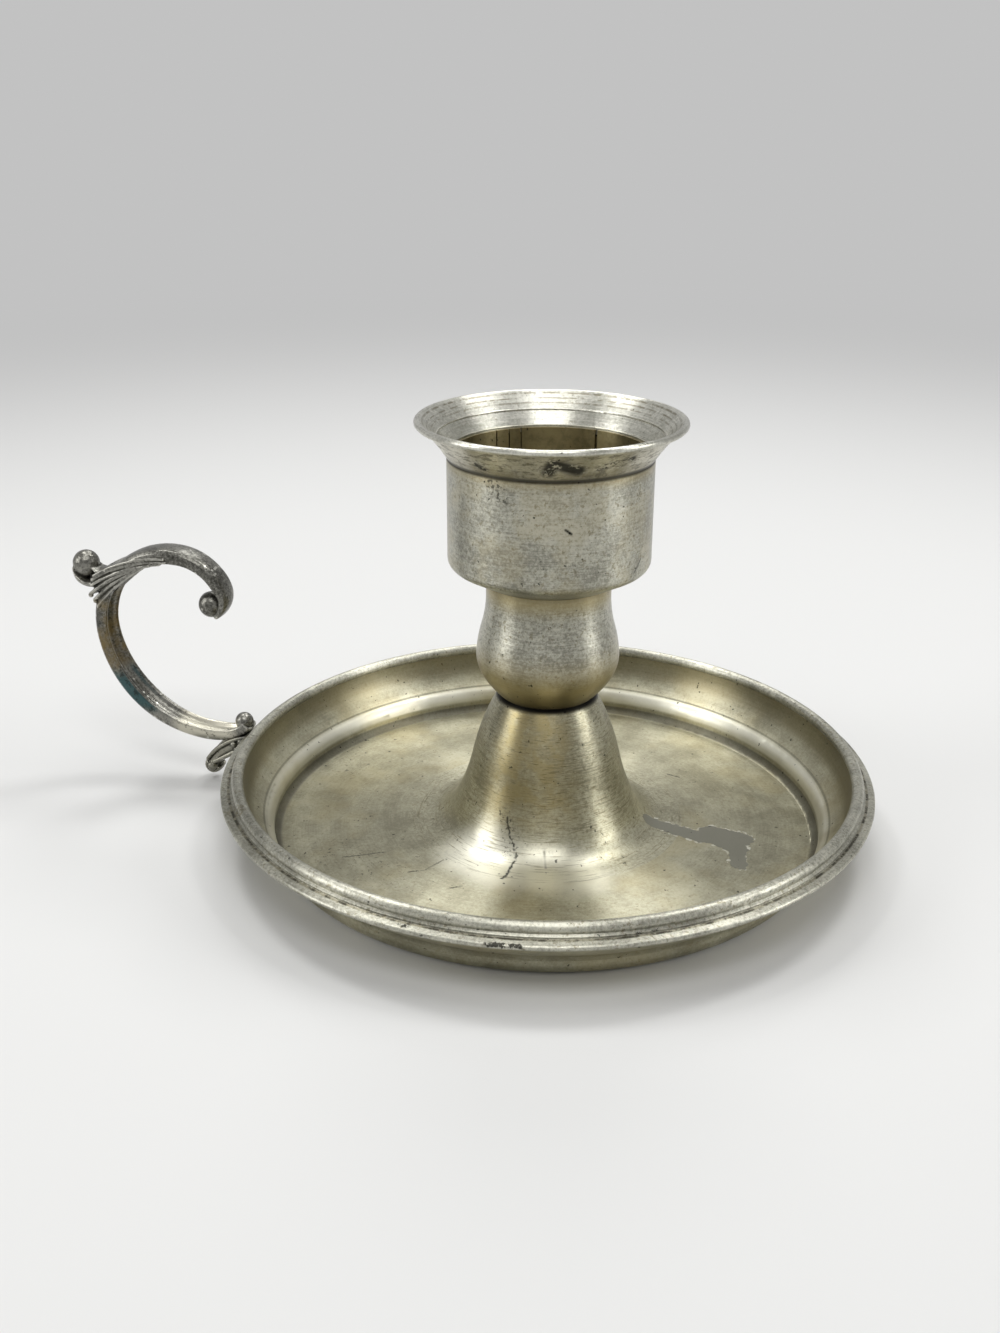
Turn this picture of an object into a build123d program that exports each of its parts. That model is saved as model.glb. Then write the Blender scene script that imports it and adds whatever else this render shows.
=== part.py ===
# A chamberstick with a finger loop: a shallow spun pan with a moulded rim, a spun trumpet stem,
# a vase-shaped knop, a candle cup with a lift-out flared nozzle, and a cast C-scroll handle.
# Millimetres, +Z up. The origin lies on the pan's axis, on the surface that the pan stands on.
# The handle points to -X.
from build123d import *
from math import atan, cos, degrees, radians, sin, tan
import os

os.makedirs("parts", exist_ok=True)

# Shared by all pieces
overrun = 2.0  # how far a cutting shape runs past what it cuts
slide_clearance = 0.05  # radial play of the nozzle's sleeve in the candle cup
bolt_clearance = 0.15  # radial play of the tie bolt in its holes

# Pan, spun from sheet. Its wall turns up in a soft corner, a short riser, a convex ledge
# and a concave cove.
rim_radius = 70.0  # the rim's outer lip
rim_width = 4.7  # from the lip in to the pan's mouth
pan_wall = 0.8
corner_radius = 1.7
riser_height = 0.95
ledge_radius = 3.2
cove_radius = 9.0
wall_turn = 60  # degrees that the ledge turns outwards and the cove turns back
rest_width = 3.5  # flat ring that the pan stands on
floor_rise = 1.0  # the floor's crown towards the stem
pan_opening_radius = 21.0

# Rim border, a drawn moulded wire: a round bead, a sloping shelf and a rounded lip
bead_radius = 1.25
lip_radius = 0.55
shelf_step = 0.3  # the fine step along the shelf

# Stem, a spun trumpet whose feathered foot is let into the pan's floor
stem_foot_radius = 30.0
stem_foot_flat = 4.0  # level edge of the foot
stem_height = 31.0  # top face, above the surface that the pan stands on
stem_seat_radius = 9.8
stem_wall = 0.7
foot_lap = 0.3  # thickness of the feathered foot
# Ends of the side's tangent arcs from the foot up, as shares of the way out from the seat's
# radius to the foot's, and of the height above the floor
stem_side_shares = [(0.508, 0.123), (0.306, 0.507), (0.058, 0.974)]

# Knop, a spun vase-shaped bulb with its neck
knop_radius = 15.05
knop_height = 25.5
knop_wall = 0.8
knop_neck_share = 0.864  # of the knop's radius
knop_neck_foot_share = 0.878  # of its height
# Ends of the side's tangent arcs from the neck down, as shares of its radius and height
knop_side_shares = [(0.930, 0.608), (1.000, 0.384), (0.930, 0.200)]

# Candle cup
cup_radius = 20.9
cup_height = 26.1
cup_wall = 0.9
cup_floor_radius = 13.6
cup_corner_radius = 2.2
cup_slope = 27.5  # degrees, the rise of its underside outside the flat floor

# Nozzle: a flared collar with a rolled lip, and a slit spring sleeve soldered in its throat
collar_radius = 27.3
collar_height = 7.6
collar_wall = 0.8
collar_lip_radius = 0.7
collar_throat_height = 1.4
collar_hollow = 0.3  # how far the flare's underside bows inwards
collar_ridge_radius = 0.25
sleeve_wall = 0.5
sleeve_drop = 16.0  # how far the sleeve reaches down into the cup
sleeve_rise = 1.0  # how far the sleeve reaches up in the collar's throat
sleeve_seam_width = 0.6
sleeve_slit_width = 0.3
sleeve_slit_length = 9.0
sleeve_seam_angle = 74  # degrees round the axis
sleeve_slit_angles = [122, 130, 139, 250, 330]

# Tie bolt that clamps cup, knop and stem together
bolt_radius = 2.5
bolt_head_radius = 5.0
bolt_head_height = 2.4
bolt_slot_width = 1.2
bolt_slot_depth = 1.0
bolt_tail = 2.5  # thread below the nut
washer_radius = 6.5
washer_thickness = 1.0
nut_across_flats = 8.0
nut_height = 4.0

# Handle: a cast C-scroll in the upright plane through the pan's axis. Its middle line is a
# chain of tangent arcs from the rim, round the loop, to the curl inside it.
handle_start_overlap = 0.2  # how far in over the lip the scroll begins
handle_start_height = 2.2  # above the lip's centre
handle_start_dip = 47  # degrees below level
handle_arc_radii = [9.0, 25.8, 18.0, 12.2, 5.0]
handle_arc_turns = [41, 87, 108, 57, 99]
handle_width = 5.4
handle_thickness = 2.8
# Width and thickness at seven places along the middle line, as shares of its own
handle_station_shares = [0.0, 0.12, 0.30, 0.48, 0.70, 0.90, 1.0]
handle_width_shares = [0.85, 1.0, 1.05, 1.0, 1.22, 0.72, 0.60]
handle_thickness_shares = [0.85, 1.0, 1.25, 1.0, 1.07, 0.72, 0.42]
strap_corner_share = 0.35  # corner radius, of the strap's thickness
inner_ball_radius = 2.6
rim_ball_radius = 1.85
rim_ball_shares = (0.6, 0.3)  # from the scroll's start, of the ball's radius
thumb_ball_radius = 3.0
leaf_width = 6.2
leaf_corner_radius = 0.5  # of its outline
leaf_edge_radius = 0.45
leaf_size = 14.0
# Three-point arcs round the thumb leaf, from the end of the handle's second arc, as shares of
# the leaf's size
leaf_arc_shares = [
    [(0.03, 0.52), (0.17, 0.68), (0.11, 0.83)],
    [(0.11, 0.83), (0.35, 0.94), (0.43, 1.12)],
    [(0.43, 1.12), (0.24, 1.02), (0.09, 1.16)],
    [(0.09, 1.16), (-0.10, 1.12), (-0.30, 1.17)],
    [(-0.56, 1.10), (-0.33, 0.87), (-0.14, 0.55)],
]
thumb_ball_shares = (0.27, 1.19)

# Rim bracket: a cast leaf below the rim, ending in a small curl
bracket_length = 11.4
bracket_dip = 23  # degrees below level
bracket_curl_radius = 2.1
bracket_curl_turn = 210
bracket_width = 4.4
bracket_thickness = 2.6
bracket_end_share = 0.62  # width and thickness at its end, of those at its start
bracket_ball_radius = 1.2
bracket_drop = 2.2  # start of its middle line, below the lip's centre
bracket_start_overlap = 1.0  # how far in from the lip's centre it begins


# Derived sizes of the pan
pan_mouth_radius = rim_radius - rim_width
crease_radius = pan_mouth_radius - (ledge_radius + cove_radius) * (1 - cos(radians(wall_turn)))
rest_outer_radius = crease_radius - corner_radius
rest_inner_radius = rest_outer_radius - rest_width
floor_height = pan_wall + floor_rise
bolt_hole_radius = bolt_radius + bolt_clearance

crown_length = rest_inner_radius - stem_foot_radius
crown_turn = 2 * degrees(atan(floor_rise / crown_length))
crown_radius = crown_length / 2 / sin(radians(crown_turn))

with BuildPart() as pan:
    with BuildSketch(Plane.XZ):
        with BuildLine():
            seat = Line((pan_opening_radius, floor_height), (stem_foot_radius, floor_height))
            fall = JernArc(seat @ 1, (1, 0), crown_radius, -crown_turn)
            level = JernArc(fall @ 1, fall % 1, crown_radius, crown_turn)
            rest = Line(level @ 1, (rest_outer_radius, pan_wall))
            corner = JernArc(rest @ 1, (1, 0), corner_radius, 90)
            riser = Line(corner @ 1, corner @ 1 + Vector(0, riser_height))
            ledge = JernArc(riser @ 1, (0, 1), ledge_radius, -wall_turn)
            cove = JernArc(ledge @ 1, ledge % 1, cove_radius, wall_turn)
            offset(amount=pan_wall, side=Side.RIGHT)
        make_face()
    revolve(axis=Axis.Z)
    # Seat for the stem's feathered foot
    with BuildSketch(Plane.XY.offset(floor_height - foot_lap)):
        Circle(stem_foot_radius)
    extrude(amount=overrun, mode=Mode.SUBTRACT)
pan.part.label = "pan"
mouth_height = (cove @ 1).Y

# The border sits on the wall's edge. Its lip stands out below the bead.
bead_height = mouth_height + pan_wall
bead_centre_radius = pan_mouth_radius + pan_wall / 2 + bead_radius / 2
lip_centre_radius = rim_radius - lip_radius
lip_height = mouth_height - bead_radius - lip_radius / 4
shelf_height = lip_height + lip_radius
step_radius = (bead_centre_radius + lip_centre_radius) / 2

with BuildPart() as rim_border:
    with BuildSketch(Plane.XZ):
        with Locations((bead_centre_radius, bead_height)):
            Circle(bead_radius)
        with Locations((lip_centre_radius, lip_height)):
            Circle(lip_radius)
        with BuildLine():
            Polyline(
                (bead_centre_radius, bead_height),
                (step_radius, shelf_height + 2 * shelf_step),
                (step_radius, shelf_height + shelf_step),
                (lip_centre_radius, shelf_height),
                (lip_centre_radius, lip_height - lip_radius),
                (pan_mouth_radius, lip_height - 2 * lip_radius),
                close=True,
            )
        make_face()
    revolve(axis=Axis.Z)
    add(pan.part, mode=Mode.SUBTRACT)
rim_border.part.label = "rim_border"

with BuildPart() as stem:
    with BuildSketch(Plane.XZ):
        with BuildLine():
            stem_rise = stem_height - floor_height
            foot = Line(
                (stem_foot_radius, floor_height),
                (stem_foot_radius - stem_foot_flat, floor_height),
            )
            end = foot
            for radius_share, height_share in stem_side_shares:
                radius = stem_seat_radius + radius_share * (stem_foot_radius - stem_seat_radius)
                point = (radius, floor_height + height_share * stem_rise)
                end = TangentArc(end @ 1, point, tangent=end % 1)
            shoulder = TangentArc(end @ 1, (stem_seat_radius, stem_height), tangent=end % 1)
            Line(shoulder @ 1, (bolt_hole_radius, stem_height))
            offset(amount=stem_wall, side=Side.LEFT)
        make_face()
        # Level underside of the foot
        with Locations((0, floor_height - foot_lap)):
            Rectangle(
                2 * stem_foot_radius + overrun,
                2 * stem_wall,
                align=(Align.CENTER, Align.MAX),
                mode=Mode.SUBTRACT,
            )
    revolve(axis=Axis.Z)
stem.part.label = "stem"

knop_foot = stem_height
with BuildPart() as knop:
    with BuildSketch(Plane.XZ):
        with BuildLine():
            neck_radius = knop_neck_share * knop_radius
            end = Line(
                (neck_radius, knop_foot + knop_height),
                (neck_radius, knop_foot + knop_neck_foot_share * knop_height),
            )
            for radius_share, height_share in knop_side_shares:
                point = (radius_share * knop_radius, knop_foot + height_share * knop_height)
                end = TangentArc(end @ 1, point, tangent=end % 1)
            end = TangentArc(end @ 1, (stem_seat_radius, knop_foot), tangent=end % 1)
            Line(end @ 1, (bolt_hole_radius, knop_foot))
            offset(amount=knop_wall, side=Side.RIGHT)
        make_face()
    revolve(axis=Axis.Z)
knop.part.label = "knop"

cup_foot = knop_foot + knop_height
cup_top = cup_foot + cup_height
slope_rise = (cup_radius - cup_floor_radius) * tan(radians(cup_slope))
with BuildPart() as candle_cup:
    with BuildSketch(Plane.XZ):
        with BuildLine():
            FilletPolyline(
                (bolt_hole_radius, cup_foot),
                (cup_floor_radius, cup_foot),
                (cup_radius, cup_foot + slope_rise),
                (cup_radius, cup_top),
                radius=cup_corner_radius,
            )
            offset(amount=cup_wall, side=Side.LEFT)
        make_face()
    revolve(axis=Axis.Z)
candle_cup.part.label = "candle_cup"

# The nozzle lifts out of the cup
throat_radius = cup_radius - cup_wall - slide_clearance
bore_radius = throat_radius - sleeve_wall
lip_middle = (collar_radius - collar_lip_radius, cup_top + collar_height - collar_lip_radius)
with BuildPart() as nozzle_collar:
    with BuildSketch(Plane.XZ):
        with BuildLine():
            flare = SagittaArc((cup_radius, cup_top), lip_middle, collar_hollow)
            offset(amount=collar_wall, side=Side.LEFT)
        make_face()
        with Locations(lip_middle):
            Circle(collar_lip_radius)
        with Locations((throat_radius, cup_top)):
            Rectangle(cup_radius - throat_radius, collar_throat_height, align=Align.MIN)
        ridge = flare @ 0.5 + Vector(flare % 0.5).rotate(Axis.Z, 90) * collar_wall
        with Locations(ridge):
            Circle(collar_ridge_radius)
    revolve(axis=Axis.Z)
nozzle_collar.part.label = "nozzle_collar"

sleeve_length = sleeve_drop + sleeve_rise
sleeve_foot = cup_top - sleeve_drop
with BuildPart() as nozzle_sleeve:
    with BuildSketch(Plane.XY.offset(sleeve_foot)):
        Circle(throat_radius)
        Circle(bore_radius, mode=Mode.SUBTRACT)
    extrude(amount=sleeve_length)
    with BuildSketch(Plane.XY.offset(sleeve_foot)):
        with PolarLocations(throat_radius, 1, start_angle=sleeve_seam_angle):
            Rectangle(4 * sleeve_wall, sleeve_seam_width)
    extrude(amount=sleeve_length, mode=Mode.SUBTRACT)
    with BuildSketch(Plane.XY.offset(cup_top + sleeve_rise)):
        for angle in sleeve_slit_angles:
            with PolarLocations(throat_radius, 1, start_angle=angle):
                Rectangle(4 * sleeve_wall, sleeve_slit_width)
    extrude(amount=-sleeve_slit_length, mode=Mode.SUBTRACT)
nozzle_sleeve.part.label = "nozzle_sleeve"

cup_floor = cup_foot + cup_wall
washer_top = stem_height - stem_wall
nut_top = washer_top - washer_thickness
bolt_end = nut_top - nut_height - bolt_tail
with BuildPart() as tie_bolt:
    with BuildSketch(Plane.XY.offset(cup_floor)):
        Circle(bolt_head_radius)
    extrude(amount=bolt_head_height)
    fillet(tie_bolt.edges().group_by(Axis.Z)[-1], bolt_head_height / 2)
    with BuildSketch(Plane.XY.offset(cup_floor + bolt_head_height - bolt_slot_depth)):
        Rectangle(2 * bolt_head_radius + overrun, bolt_slot_width)
    extrude(amount=bolt_slot_depth + overrun, mode=Mode.SUBTRACT)
    with BuildSketch(Plane.XY.offset(bolt_end)):
        Circle(bolt_radius)
    extrude(amount=cup_floor - bolt_end)
    chamfer(tie_bolt.edges().group_by(Axis.Z)[0], bolt_radius / 5)
tie_bolt.part.label = "tie_bolt"

with BuildPart() as bolt_washer:
    with BuildSketch(Plane.XY.offset(nut_top)):
        Circle(washer_radius)
        Circle(bolt_hole_radius, mode=Mode.SUBTRACT)
    extrude(amount=washer_thickness)
bolt_washer.part.label = "bolt_washer"

with BuildPart() as bolt_nut:
    with BuildSketch(Plane.XY.offset(nut_top - nut_height)):
        RegularPolygon(nut_across_flats / 2, 6, major_radius=False)
        Circle(bolt_radius, mode=Mode.SUBTRACT)
    extrude(amount=nut_height)
bolt_nut.part.label = "bolt_nut"

# Upright plane through the pan's axis: across is the distance outwards, up is the height
handle_plane = Plane(origin=(0, 0, 0), x_dir=(-1, 0, 0), z_dir=(0, 1, 0))
handle_start = (rim_radius - handle_start_overlap, lip_height + handle_start_height)
handle_dip = radians(handle_start_dip)
with BuildLine(handle_plane) as scroll_line:
    end = JernArc(
        handle_start,
        (-cos(handle_dip), 0, -sin(handle_dip)),
        handle_arc_radii[0],
        handle_arc_turns[0],
    )
    for number, turn in enumerate(handle_arc_turns[1:], 1):
        end = JernArc(end @ 1, end % 1, handle_arc_radii[number], turn)
        if number == 1:
            spine_top = handle_plane.to_local_coords(end @ 1)
    scroll_end = handle_plane.to_local_coords(end @ 1)
    scroll_aim = handle_plane.to_local_coords(end @ 1 + end % 1) - scroll_end
inner_ball_centre = scroll_end + scroll_aim.rotate(Axis.Z, 90) * inner_ball_radius
leaf_arcs = [
    [(spine_top.X + across * leaf_size, spine_top.Y + up * leaf_size) for across, up in shares]
    for shares in leaf_arc_shares
]
thumb_ball_centre = spine_top + Vector(*thumb_ball_shares) * leaf_size
rim_ball_centre = Vector(*handle_start) + Vector(*rim_ball_shares) * rim_ball_radius

with BuildPart() as thumb_leaf:
    with BuildSketch(handle_plane) as leaf_outline:
        with BuildLine():
            for number, arc in enumerate(leaf_arcs):
                ThreePointArc(*arc)
                if arc[0] != leaf_arcs[number - 1][-1]:
                    Line(leaf_arcs[number - 1][-1], arc[0])
        make_face()
        fillet(leaf_outline.vertices(), leaf_corner_radius)
    extrude(amount=leaf_width / 2, both=True)
    fillet(thumb_leaf.edges().filter_by(Axis.Y, reverse=True), leaf_edge_radius)

with BuildPart() as finger_scroll:
    middle_line = scroll_line.wires()[0]
    add(middle_line)
    for number, share in enumerate(handle_station_shares):
        width = handle_width * handle_width_shares[number]
        thickness = handle_thickness * handle_thickness_shares[number]
        aim = middle_line % share
        with BuildSketch(Plane(origin=middle_line @ share, x_dir=(0, 1, 0), z_dir=aim)):
            RectangleRounded(width, thickness, thickness * strap_corner_share)
    sweep(multisection=True)
    add(thumb_leaf.part)
    for centre, radius in (
        (inner_ball_centre, inner_ball_radius),
        (thumb_ball_centre, thumb_ball_radius),
        (rim_ball_centre, rim_ball_radius),
    ):
        with Locations(handle_plane.from_local_coords(centre)):
            Sphere(radius)
    add(pan.part, mode=Mode.SUBTRACT)
    add(rim_border.part, mode=Mode.SUBTRACT)
finger_scroll.part.label = "finger_scroll"

dip = radians(bracket_dip)
with BuildPart() as rim_bracket:
    with BuildLine(handle_plane) as bracket_line:
        reach = PolarLine(
            (lip_centre_radius - bracket_start_overlap, lip_height - bracket_drop),
            bracket_length,
            -bracket_dip,
        )
        JernArc(reach @ 1, reach % 1, bracket_curl_radius, -bracket_curl_turn)
    middle_line = bracket_line.wires()[0]
    for share, size_share in ((0, 1), (reach.length / middle_line.length, 1), (1, bracket_end_share)):
        width = bracket_width * size_share
        thickness = bracket_thickness * size_share
        aim = middle_line % share
        with BuildSketch(Plane(origin=middle_line @ share, x_dir=(0, 1, 0), z_dir=aim)):
            RectangleRounded(width, thickness, thickness * strap_corner_share)
    sweep(multisection=True)
    with Locations(middle_line @ 1):
        Sphere(bracket_ball_radius)
    add(pan.part, mode=Mode.SUBTRACT)
    add(rim_border.part, mode=Mode.SUBTRACT)
rim_bracket.part.label = "rim_bracket"

for piece in (
    pan,
    rim_border,
    stem,
    knop,
    candle_cup,
    nozzle_collar,
    nozzle_sleeve,
    tie_bolt,
    bolt_washer,
    bolt_nut,
    finger_scroll,
    rim_bracket,
):
    export_step(piece.part, f"parts/{piece.part.label}.step")
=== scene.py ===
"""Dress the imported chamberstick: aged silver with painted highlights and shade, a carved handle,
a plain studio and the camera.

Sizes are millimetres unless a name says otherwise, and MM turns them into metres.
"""

from math import atan2, cos, hypot, pi, radians, sin

import bmesh
import bpy
from mathutils import Matrix, Vector


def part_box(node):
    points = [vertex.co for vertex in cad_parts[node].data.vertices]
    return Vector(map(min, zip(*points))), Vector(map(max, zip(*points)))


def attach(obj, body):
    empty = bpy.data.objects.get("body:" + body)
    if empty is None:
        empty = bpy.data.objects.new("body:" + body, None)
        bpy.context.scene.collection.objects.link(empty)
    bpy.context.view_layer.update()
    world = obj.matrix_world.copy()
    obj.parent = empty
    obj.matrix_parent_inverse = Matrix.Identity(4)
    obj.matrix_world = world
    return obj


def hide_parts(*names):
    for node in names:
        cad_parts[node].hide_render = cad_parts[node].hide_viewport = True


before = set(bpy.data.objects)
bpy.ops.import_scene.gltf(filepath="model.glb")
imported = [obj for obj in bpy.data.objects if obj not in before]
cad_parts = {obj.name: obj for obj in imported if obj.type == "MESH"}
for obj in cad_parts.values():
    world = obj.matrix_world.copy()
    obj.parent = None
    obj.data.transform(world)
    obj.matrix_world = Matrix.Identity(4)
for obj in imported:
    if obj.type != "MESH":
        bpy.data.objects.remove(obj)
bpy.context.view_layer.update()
scene = bpy.context.scene
MM = 0.001


def foot(node):
    """Height of the node's lowest point."""
    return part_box(node)[0][2] / MM


def top(node):
    """Height of the node's highest point."""
    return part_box(node)[1][2] / MM


def reach(node):
    """Radius of a node that is round about the axis."""
    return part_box(node)[1][0] / MM


# Shader nodes


class Shade:
    """The output of a shader node, with the usual operators."""

    def __init__(self, tree, socket):
        self.tree = tree
        self.socket = socket

    def maths(self, kind, *others):
        return Maker(self.tree).node("ShaderNodeMath", {"operation": kind}, self, *others)

    def __add__(self, other):
        return self.maths("ADD", other)

    def __mul__(self, other):
        return self.maths("MULTIPLY", other)

    __rmul__ = __mul__

    def __sub__(self, other):
        return self.maths("SUBTRACT", other)

    def __rsub__(self, other):
        return (self * -1.0) + other

    def __truediv__(self, other):
        return self.maths("DIVIDE", other)

    def over(self, low, high):
        """0 at low, 1 at high, smooth between; falls where low is above high."""
        smooth = {"interpolation_type": "SMOOTHSTEP"}
        return Maker(self.tree).node("ShaderNodeMapRange", smooth, self, low, high, 0.0, 1.0)

    def near(self, centre, half, soft):
        """1 within half of centre, falling to 0 over soft."""
        return (self - centre).maths("ABSOLUTE").over(half + soft, half)

    def most(self, other):
        return self.maths("MAXIMUM", other)


def strongest(marks):
    """The strongest of several marks at each place."""
    whole = marks[0]
    for mark in marks[1:]:
        whole = whole.most(mark)
    return whole


class Maker:
    """Adds nodes to a tree; an input is a Shade or a plain value."""

    def __init__(self, tree):
        self.tree = tree

    def join(self, value, entry):
        """Link a Shade to the input, or set a plain value on it."""
        if isinstance(value, Shade):
            self.tree.links.new(value.socket, entry)
        else:
            entry.default_value = value

    def node(self, kind, settings, *values, out=0, **named):
        made = self.tree.nodes.new(kind)
        for key, value in settings.items():
            setattr(made, key, value)
        for key, value in list(enumerate(values)) + list(named.items()):
            self.join(value, made.inputs[key])
        return None if out is None else Shade(self.tree, made.outputs[out])

    def blend(self, factor, first, second):
        """first where factor is 0, second where it is 1; either may be a colour."""
        made = self.tree.nodes.new("ShaderNodeMix")
        made.data_type = "RGBA"
        self.join(factor, made.inputs[0])
        for entry, value in ((6, first), (7, second)):
            self.join((*value, 1.0) if isinstance(value, tuple) else value, made.inputs[entry])
        return Shade(self.tree, made.outputs[2])

    def noise(self, place, scale, detail=3.0, roughness=0.5):
        return self.node(
            "ShaderNodeTexNoise", {}, Vector=place, Scale=scale, Detail=detail, Roughness=roughness
        )

    def vector(self, kind, *values, out=0, **named):
        return self.node("ShaderNodeVectorMath", {"operation": kind}, *values, out=out, **named)

    def shaken(self, place, scale, amount):
        """The place moved about by up to half of amount, so that a mark gets ragged edges."""
        noise = self.node("ShaderNodeTexNoise", {}, out=1, Vector=place, Scale=scale, Detail=3.0)
        moved = self.vector("ADD", place, self.vector("SCALE", noise, Scale=amount))
        return self.vector("SUBTRACT", moved, (amount / 2, amount / 2, amount / 2))

    def stroke(self, place, points, half, soft):
        """1 within half of the line through the points, falling to 0 over soft."""
        marks = []
        for start, end in zip(points, points[1:]):
            start, end = Vector(start), Vector(end)
            along = self.vector("SUBTRACT", place, tuple(start))
            run = end - start
            share = self.vector("DOT_PRODUCT", along, tuple(run / run.length_squared), out=1)
            share = share.maths("MAXIMUM", 0.0).maths("MINIMUM", 1.0)
            nearest = self.vector("SCALE", tuple(run), Scale=share)
            away = self.vector("SUBTRACT", along, nearest)
            marks.append(self.vector("LENGTH", away, out=1).over(half + soft, half))
        return strongest(marks)

    def strokes(self, place, lines, half, soft):
        return strongest([self.stroke(place, points, half, soft) for points in lines])


LATHE_GRAIN = 0.8  # how far brushing round the axis stretches a highlight
ACROSS_THE_LINES = 0.25  # and its direction, as a share of a turn


class Metal:
    """The places and the usual marks that a finish is mixed from."""

    def __init__(self, name):
        self.material = bpy.data.materials.new(name)
        self.material.use_nodes = True
        self.tree = self.material.node_tree
        self.tree.nodes.clear()
        self.maker = m = Maker(self.tree)
        coordinates = m.node("ShaderNodeTexCoord", {}, out=3)
        self.place = m.vector("SCALE", coordinates, Scale=1 / MM)
        self.x, self.y, self.z = (
            m.node("ShaderNodeSeparateXYZ", {}, self.place, out=axis) for axis in range(3)
        )
        flat = m.node("ShaderNodeCombineXYZ", {}, self.x, self.y, 0.0)
        self.out = m.vector("LENGTH", flat, out=1)
        self.side = self.x / self.out  # cosine and sine of the place round the axis
        self.front = self.y / self.out
        face = m.node("ShaderNodeTexCoord", {}, out=1)
        self.facing_up = m.node("ShaderNodeSeparateXYZ", {}, face, out=2)
        radial = m.node("ShaderNodeCombineXYZ", {}, self.side, self.front, 0.0)
        self.facing_out = m.vector("DOT_PRODUCT", face, radial, out=1)
        self.upper_face = self.facing_up.over(0.0, 0.3)
        self.inner_face = self.facing_out.over(0.1, -0.1)

    def noise(self, scale, detail=3.0, roughness=0.5):
        return self.maker.noise(self.place, scale, detail, roughness)

    def stroke(self, points, half, soft):
        return self.maker.stroke(self.place, points, half, soft)

    def lathe_lines(self, fine, turns):
        """Uneven tool lines that run round the axis."""
        rows = self.maker.node(
            "ShaderNodeCombineXYZ", {}, self.out * fine, self.z * fine, self.side * turns
        )
        return self.maker.node(
            "ShaderNodeTexNoise",
            {"noise_dimensions": "4D"},
            Vector=rows,
            W=self.front * turns,
            Scale=1.0,
            Detail=4.0,
            Roughness=0.62,
        )

    def nicks(self, round_the_axis, upwards, detail=3.0, roughness=0.6):
        """Noise stretched by different scales round the axis and upwards."""
        rows = self.maker.node(
            "ShaderNodeCombineXYZ",
            {},
            self.side * round_the_axis,
            self.front * round_the_axis,
            self.z * upwards,
        )
        return self.maker.noise(rows, 1.0, detail, roughness)

    def finish(self, colour, roughness, height, grip=0.0):
        """Join colour, roughness and height in millimetres to a bare metal surface."""
        m = self.maker
        bump = m.node("ShaderNodeBump", {}, Strength=1.0, Distance=MM, Height=height)
        shader = self.tree.nodes.new("ShaderNodeBsdfPrincipled")
        for entry, value in (
            ("Base Color", colour),
            ("Roughness", roughness),
            ("Normal", bump),
            ("Metallic", 1.0),
            ("Anisotropic", grip),
            ("Anisotropic Rotation", ACROSS_THE_LINES),
        ):
            m.join(value, shader.inputs[entry])
        end = self.tree.nodes.new("ShaderNodeOutputMaterial")
        self.tree.links.new(shader.outputs[0], end.inputs[0])
        return self.material


# Colours of the plate, from clean to bare

BRIGHT_SILVER = (0.51, 0.49, 0.365)
DULL_SILVER = (0.25, 0.235, 0.165)
PALE_SILVER = (0.56, 0.55, 0.465)
GREY_SILVER = (0.235, 0.23, 0.19)
CLEAN_SILVER = (0.72, 0.71, 0.64)
SHADED_SILVER = (0.36, 0.355, 0.30)
# Painted highlight, laid on the pan's ledge and on the front of the trumpet's foot
PAINTED_HIGHLIGHT_SILVER = (0.78, 0.765, 0.65)
OCHRE = (0.36, 0.295, 0.14)
BROWN = (0.15, 0.125, 0.063)
# Black of tarnished silver, also used as painted shade in creases and gaps
BLACK_TARNISH_AND_SHADE = (0.022, 0.021, 0.017)
BARE_METAL = (0.255, 0.25, 0.205)
FILM_EDGE = (0.72, 0.71, 0.61)

# What each layer gives to the light and dark of the plate, to its roughness and, in
# millimetres, to its height

TONE = {"cloud": 0.35, "blotch": 0.35, "lines": 0.55, "grain": 0.60}
TONE_HALF_WIDTH = 0.16
ROUGH = {"base": 0.20, "blotch": 0.12, "grain": 0.14, "lines": 0.08, "dark": 0.2, "bare": 0.15}
HEIGHT = {
    "lines": 0.0035, "grain": 0.0040, "wobble": 0.12, "specks": 0.004, "dark": 0.012, "bare": 0.03,
}
FLOOR_RINGS = 0.3  # strength of the tool lines on the pan's floor
NO_MARKS = dict.fromkeys(("wear_and_painted_highlight", "ochre", "brown", "bare", "film", "black"), 0.0)


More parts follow.
